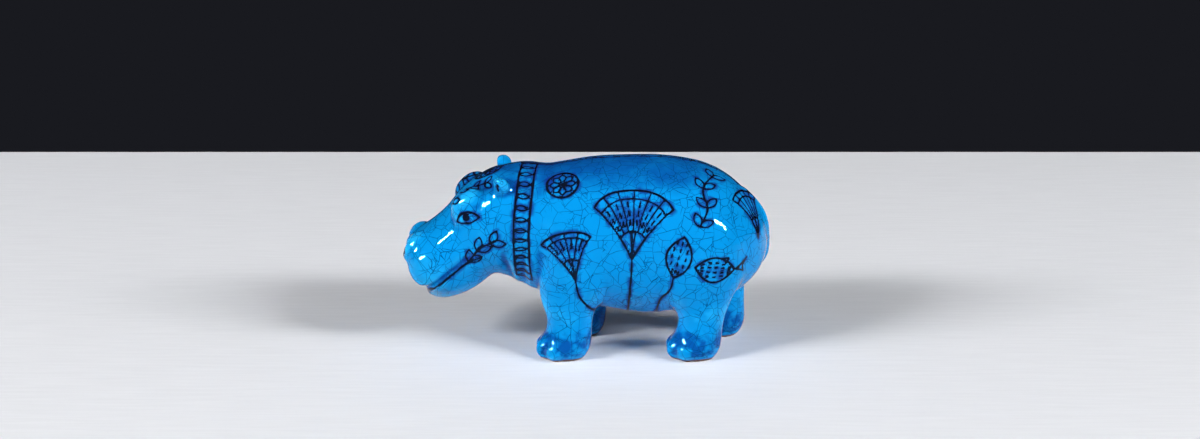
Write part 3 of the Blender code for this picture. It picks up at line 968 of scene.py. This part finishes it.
def make_crackle():
    inputs = [
        ("Vector", VECTOR, None),
        ("Normal", VECTOR, None),
        ("Size", FLOAT, 8.0),
        ("Width", FLOAT, 0.20),
    ]
    tree, given, result = new_tree("ShaderNodeTree", "crackle", inputs, [("Cracks", FLOAT)])
    millimetres = vector(tree, "MULTIPLY", given["Vector"], IN_MM)
    wander = vector(tree, "SUBTRACT", noise(tree, given["Vector"], 9 * MM, 1.0, "Color"), NOISE_MIDDLE)
    place = vector(tree, "ADD", millimetres, vector(tree, "MULTIPLY", wander, WANDER))
    uneven = stretched(tree, noise(tree, given["Vector"], 7 * MM), *MOST_NOISE, 0.6, 1.3)
    width = times(tree, given["Width"], uneven)
    cracks = 0.0
    for share, blob, rare in CRACK_NETS:
        cells = {"Vector": place, "Scale": number(tree, "DIVIDE", 1 / share, given["Size"])}
        nearest = add(tree, "ShaderNodeTexVoronoi", cells, feature="F1").outputs
        second = add(tree, "ShaderNodeTexVoronoi", cells, feature="F2").outputs
        across = vector(tree, "SUBTRACT", second["Position"], nearest["Position"])
        across = vector(tree, "NORMALIZE", across)
        middle = vector(tree, "ADD", nearest["Position"], second["Position"])
        middle = vector(tree, "MULTIPLY", middle, (0.5, 0.5, 0.5))
        gap = vector(tree, "DOT_PRODUCT", vector(tree, "SUBTRACT", place, middle), across)
        tilt = vector(tree, "DOT_PRODUCT", across, given["Normal"])
        slant = number(tree, "SQRT", minus(tree, STEEPEST, times(tree, tilt, tilt)))
        gap = number(tree, "DIVIDE", number(tree, "ABSOLUTE", gap), slant)
        net = stretched(tree, gap, width, times(tree, width, 0.3))
        patch = stretched(tree, noise(tree, given["Vector"], blob * MM), rare - 0.03, rare + 0.05)
        cracks = number(tree, "MAXIMUM", cracks, times(tree, net, patch))
        place = vector(tree, "ADD", place, vector(tree, "MULTIPLY", nearest["Color"], NET_SHIFT))
    tree.links.new(cracks, result["Cracks"])
    return tree


CRACKLE = make_crackle()

# %% The glaze itself
AZURE = (0.0015, 0.225, 0.570, 1)
PALE = (0.010, 0.330, 0.700, 1)
DEEP = (0.0015, 0.070, 0.290, 1)
CRACK = (0.0008, 0.038, 0.125, 1)
HALO = (0.0060, 0.018, 0.180, 1)
STAIN = (0.0030, 0.0050, 0.0140, 1)
BARE_CLAY = (0.130, 0.060, 0.032, 1)

# The first zone, along the top of the back, is painted shade: the colour is made deeper where the low lamps
# hardly light it
SHADED_TOP = (84.0, 105.0)  # a zone's heights in mm, from where it begins to where it is full
LEG = (46.0, 28.0)
FOOT = (24.0, 8.0)
SOLE_EDGE = (0.5, 4.5)
RIM = (2.6, 1.5)
WIPED = (1.45, 1.15)
POOL_DEPTH, CLOUD_DEPTH, SHADED_TOP_DEPTH, FOOT_DEPTH, LEG_DEPTH = 1.6, 0.95, 0.95, 1.7, -0.3
TO_DEEP = (0.05, 0.95)  # the depths between which the colour turns
TO_PALE = (-0.25, -1.2)
CRACK_SHARE, HALO_SHARE, RIM_SHARE = 0.85, 0.92, 0.6
GLASS_ROUGHNESS, CLAY_ROUGHNESS = 0.035, 0.8
GLASS_IOR = 1.30
GLEAM_TINT = (0.10, 0.55, 1.0, 1)


def make_glaze():
    material = bpy.data.materials.new("turquoise crackle glaze")
    material.use_nodes = True
    tree = material.node_tree
    shader = tree.nodes["Principled BSDF"]
    around = add(tree, "ShaderNodeTexCoord").outputs
    place = around["Object"]
    height = number(tree, "DIVIDE", add(tree, "ShaderNodeSeparateXYZ", {0: place}).outputs["Z"], MM)

    cloud = minus(tree, noise(tree, place, 22 * MM, 4.0), 0.5)
    mottle = minus(tree, noise(tree, place, 5 * MM, 4.0), 0.5)
    # painted shade: the top of the back is made deeper in colour, because the low lamps hardly light it
    shaded_top = stretched(tree, height, *SHADED_TOP)
    leg = stretched(tree, height, *LEG)
    foot = times(tree, stretched(tree, height, *FOOT), stretched(tree, height, *SOLE_EDGE))
    parts = [(on_skin(tree, "pool"), POOL_DEPTH), (cloud, CLOUD_DEPTH), (shaded_top, SHADED_TOP_DEPTH)]
    # the depth adds the glaze's real pooling, clouds, toes and legs to the painted shade along the top of the
    # back
    depth_and_top_shade = summed(tree, 0.0, *parts, (foot, FOOT_DEPTH), (leg, LEG_DEPTH))
    lively = summed(tree, 0.35, (foot, 1.6), (leg, 1.0))
    depth_and_top_shade = number(tree, "ADD", depth_and_top_shade, times(tree, mottle, lively))
    colour = mixed(tree, stretched(tree, depth_and_top_shade, *TO_DEEP), AZURE, DEEP)
    colour = mixed(tree, stretched(tree, depth_and_top_shade, *TO_PALE), colour, PALE)

    cracks = add(tree, "ShaderNodeGroup", node_tree=CRACKLE)
    wire(tree, cracks, {"Vector": place, "Normal": around["Normal"], "Size": 15.0, "Width": 0.19})
    colour = mixed(tree, times(tree, cracks.outputs["Cracks"], CRACK_SHARE), colour, CRACK)

    brush = add(tree, "ShaderNodeGroup", node_tree=BRUSH_INK)
    wire(tree, brush, {"To Line": on_skin(tree, "to line", "Vector"), "Away": on_skin(tree, "away")})
    wire(tree, brush, {"Vector": place, "Reach": on_skin(tree, "reach"), "Ragged": 0.22, "Blur": 2.4})
    colour = mixed(tree, times(tree, brush.outputs["Blurred"], HALO_SHARE), colour, HALO)
    colour = mixed(tree, brush.outputs["Line"], colour, STAIN)

    ripple = times(tree, minus(tree, noise(tree, place, 6 * MM), 0.5), 0.9)
    level = number(tree, "ADD", height, ripple)
    bare = stretched(tree, level, *WIPED)
    rim = stretched(tree, level, *RIM)
    colour = mixed(tree, times(tree, rim, RIM_SHARE), colour, DEEP)
    colour = mixed(tree, bare, colour, BARE_CLAY)
    tree.links.new(colour, shader.inputs["Base Color"])
    roughness = stretched(tree, bare, 0.0, 1.0, GLASS_ROUGHNESS, CLAY_ROUGHNESS)
    tree.links.new(roughness, shader.inputs["Roughness"])
    wire(tree, shader, {"IOR": GLASS_IOR, "Specular IOR Level": 0.5, "Specular Tint": GLEAM_TINT})
    peel = {"Height": noise(tree, place, 5 * MM), "Strength": 0.15, "Distance": 0.4 * MM}
    tree.links.new(add(tree, "ShaderNodeBump", peel).outputs[0], shader.inputs["Normal"])
    return material


GLAZE = make_glaze()

# %% Dip and fire
for motif in list(drawing.objects):
    placed("dry", taken(motif), drawing)  # a motif that still looks at the skin can't be looked at by it
dressed_with(skin, SOAK, Drawing=drawing, Finish=GLAZE, Blur_Rounds=30)
figure = placed("glazed_hippopotamus", taken(skin))
for motif in list(drawing.objects):
    bpy.data.objects.remove(motif)
bpy.data.collections.remove(drawing)
away, reach, pool = (figure.data.attributes[name].data for name in ("away", "reach", "pool"))
inked = sum(far.value < near.value for far, near in zip(away, reach))
pools = [value.value for value in pool]
print("inked share", inked / len(away), "pool from", min(pools), "to", max(pools))
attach(figure, "root")
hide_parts("hippopotamus")

# %% [markdown]
# ## The table, the light and the camera
#
# A plain pale table stands under the figure. Soft lamps stand low on either side of the camera, so the two
# soft shadows fall back to the left and to the right, and the top of the back, which faces neither, stays
# dark. Each side has three lamps in a row, which soften the shadow's edge, and a long narrow one that only
# gives the glaze its gleam. Two weak lamps fill in the rest. The camera looks down at the figure by some
# fifteen degrees.


# %% Table
TABLE_SHADES = ((0.68, 0.69, 0.72, 1), (0.76, 0.77, 0.80, 1))
TABLE_HALF = 2.5
TABLE_BACK = 0.446  # how far behind the figure the table ends


def make_table():
    material = bpy.data.materials.new("pale paint")
    material.use_nodes = True
    tree = material.node_tree
    shader = tree.nodes["Principled BSDF"]
    place = add(tree, "ShaderNodeTexCoord").outputs["Object"]
    grain = noise(tree, vector(tree, "MULTIPLY", place, (0.08, 1.0, 1.0)), 3 * MM)
    shade = mixed(tree, grain, *TABLE_SHADES)
    wire(tree, shader, {"Base Color": shade, "Roughness": 0.8, "Specular IOR Level": 0.0})
    mesh = bpy.data.meshes.new("table")
    front = [(-TABLE_HALF, -TABLE_HALF, 0), (TABLE_HALF, -TABLE_HALF, 0)]
    corners = front + [(TABLE_HALF, TABLE_BACK, 0), (-TABLE_HALF, TABLE_BACK, 0)]
    mesh.from_pydata(corners, [], [(0, 1, 2, 3)])
    mesh.materials.append(material)
    return placed("table", mesh)


make_table()

# %% Light
TARGET = Vector((7, 0, 71.2)) * MM
SIDES = ((1, "right", 0.99), (-1, "left", 1.06))  # with each side's share of the light
SOFT_LAMPS = ((50, 31, 38), (59, 26, 31), (68, 21, 25))  # direction and elevation in degrees, and watts
SOFT_DISTANCE, SOFT_SIZE = 3.0, 0.45
GLEAM_ROLL = -50
FILLS = (("fill behind", 180, 40, 1.6), ("fill in front", 0, 8, 2))
FILL_DISTANCE, FILL_SIZE = 1.8, 0.8


def soft_lamp(name, direction, elevation, distance, wide, high, power, roll=0):
    """A soft lamp that looks at the figure. Direction is in degrees from the camera's side to the right."""
    lamp = bpy.data.lights.new(name, "AREA")
    lamp.shape = "RECTANGLE"
    lamp.size = wide
    lamp.size_y = high
    lamp.energy = power
    thing = placed(name, lamp)
    a, e = math.radians(direction), math.radians(elevation)
    away = Vector((math.sin(a) * math.cos(e), -math.cos(a) * math.cos(e), math.sin(e)))
    thing.location = TARGET + away * distance
    thing.rotation_mode = "QUATERNION"
    thing.rotation_quaternion = away.to_track_quat("Z", "Y") @ Quaternion((0, 0, 1), math.radians(roll))
    thing.visible_camera = False
    return thing


for side, which, share in SIDES:
    for direction, elevation, power in SOFT_LAMPS:
        name = f"{which} lamp at {direction}"
        soft = (SOFT_DISTANCE, SOFT_SIZE, SOFT_SIZE, share * power)
        soft = soft_lamp(name, side * direction, elevation, *soft)
        soft.visible_glossy = False
    gleam = soft_lamp(f"{which} gleam", side * 58, 27, 1.9, 0.70, 0.18, 450, side * GLEAM_ROLL)
    gleam.visible_diffuse = False
for name, direction, elevation, power in FILLS:
    fill = soft_lamp(name, direction, elevation, FILL_DISTANCE, FILL_SIZE, FILL_SIZE, power)
    fill.visible_glossy = False

DARK_WALL = (0.0097, 0.0103, 0.0137, 1)
DIM_ROOM = (0.05, 0.052, 0.058, 1)


def make_room():
    """A dark room, a little brighter behind the camera."""
    world = bpy.data.worlds.new("dark room")
    world.use_nodes = True
    tree = world.node_tree
    around = add(tree, "ShaderNodeTexCoord").outputs["Generated"]
    behind_wall = add(tree, "ShaderNodeSeparateXYZ", {0: around}).outputs["Y"]
    room = mixed(tree, stretched(tree, behind_wall, -0.2, -0.9), DARK_WALL, DIM_ROOM)
    tree.links.new(room, tree.nodes["Background"].inputs["Color"])
    return world


scene.world = make_room()
scene.view_settings.view_transform = "Standard"

# %% Camera
CAMERA_ELEVATION = math.radians(15.4)
CAMERA_DISTANCE = 1.27
FOCAL_LENGTH = 69.9
lens = bpy.data.cameras.new("camera")
lens.lens = FOCAL_LENGTH
camera = placed("camera", lens)
backwards = Vector((0, -math.cos(CAMERA_ELEVATION), math.sin(CAMERA_ELEVATION)))
camera.location = TARGET + backwards * CAMERA_DISTANCE
camera.rotation_mode = "QUATERNION"
camera.rotation_quaternion = backwards.to_track_quat("Z", "Y")
scene.camera = camera

# %% The end
bpy.context.view_layer.update()
